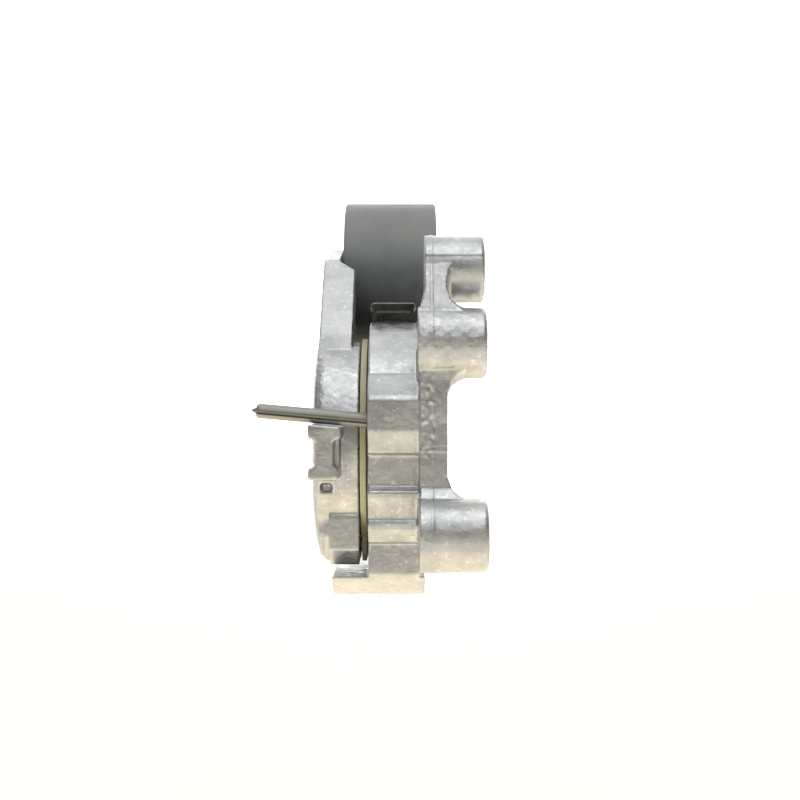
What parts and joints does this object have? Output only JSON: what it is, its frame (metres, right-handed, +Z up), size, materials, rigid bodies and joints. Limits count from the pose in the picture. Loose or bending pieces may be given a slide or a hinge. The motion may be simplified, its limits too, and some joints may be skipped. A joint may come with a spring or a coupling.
{
  "type": "belt tensioner idler",
  "caption": "Belt tensioner with a smooth black idler pulley on a cast aluminium arm and base, held in its loaded position by a steel assembly pin.",
  "frame": {"origin": "where the arm's pivot axis meets the mounting plane of the three bosses", "axes": "+Y out of the mounting face toward the engine, along the pivot and pulley axes; +Z up with the pulley above the pivot; +X toward the side that carries the pin"},
  "size_m": [0.134, 0.0697, 0.1348],
  "materials": {
    "cast": "as-cast, satin, mottled",
    "steel": "ground",
    "pin_steel": "rolled strip, plain",
    "spring_steel": "oiled",
    "black_steel": "black coated",
    "black_plastic": "satin moulded",
    "nylon": "natural nylon",
    "rubber": "matte"
  },
  "bodies": {
    "base": {"base_housing": "cast", "pivot_shaft": "steel", "retaining_plate": "steel", "damping_ring": "nylon", "spring_seat": "nylon", "thrust_washer": "nylon", "torsion_spring": "spring_steel", "keeper_clip": "black_steel"},
    "arm": {"arm_casting": "cast", "front_cap": "black_plastic", "pivot_bushing": "nylon", "bearing_inner_ring": "steel", "front_dust_shield": "steel", "rear_dust_shield": "steel", "pulley_bolt": "steel"},
    "pulley": {"pulley_shell": "black_plastic", "bearing_outer_ring": "steel", "front_seal": "rubber", "rear_seal": "rubber"},
    "cage": {"ball_cage": "nylon", "ball_1": "steel", "ball_2": "steel", "ball_3": "steel", "ball_4": "steel", "ball_5": "steel", "ball_6": "steel", "ball_7": "steel", "ball_8": "steel"},
    "pin": {"lock_pin": "pin_steel"}
  },
  "joints": [
    {"name": "arm_swing", "type": "hinge", "parent": "base", "child": "arm", "pos_m": [0, -0.038, 0], "axis": [0, 1, 0], "range_deg": [0, 8], "stiffness_Nm_per_rad": 20, "springref_deg": -45.84},
    {"name": "pulley_spin", "type": "hinge", "parent": "arm", "child": "pulley", "pos_m": [-0.05, -0.02895, 0.0586], "axis": [0, 1, 0], "continuous": true},
    {"name": "cage_orbit", "type": "hinge", "parent": "arm", "child": "cage", "pos_m": [-0.05, -0.02895, 0.0586], "axis": [0, 1, 0], "continuous": true},
    {"name": "lock_pin_pull", "type": "slide", "parent": "base", "child": "pin", "axis": [0, -0.996, 0.0898], "range_m": [0, 0.03]}
  ],
  "couplings": [
    {"joint": "cage_orbit", "follows": "pulley_spin", "ratio": 0.6193}
  ]
}
